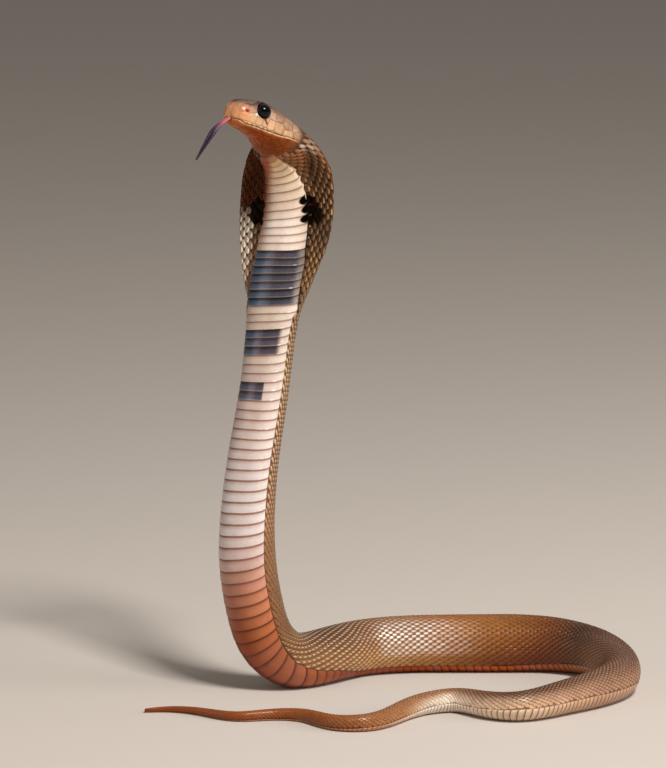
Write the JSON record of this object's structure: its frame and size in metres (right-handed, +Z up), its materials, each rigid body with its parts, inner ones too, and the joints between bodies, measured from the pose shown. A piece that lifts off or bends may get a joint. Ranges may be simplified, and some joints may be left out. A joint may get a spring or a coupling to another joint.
{
  "type": "cobra",
  "caption": "Young spectacled cobra as a still life-size model, neck raised with hood spread, body looped on the floor, tongue out.",
  "frame": {"origin": "on the floor, under the middle of the model's bounding box", "axes": "+Z up along the raised neck, -Y towards the side that shows the belly, +X along the loop of the body"},
  "size_m": [0.0952, 0.0557, 0.1142],
  "materials": {
    "back_skin": "satin",
    "chin_skin": "satin",
    "eye": "gloss",
    "tongue": "satin"
  },
  "bodies": {
    "root": {"head": "back_skin", "lower_jaw": "chin_skin", "eye_left": "eye", "eye_right": "eye", "tongue": "tongue", "hood": "back_skin", "neck": "back_skin", "forebody": "back_skin", "forebody_bend": "back_skin", "midbody_front": "back_skin", "midbody_back": "back_skin", "loop_front": "back_skin", "loop_back": "back_skin", "hindbody": "back_skin", "tail_base": "back_skin", "tail_middle": "back_skin", "tail_tip": "back_skin"}
  },
  "joints": []
}
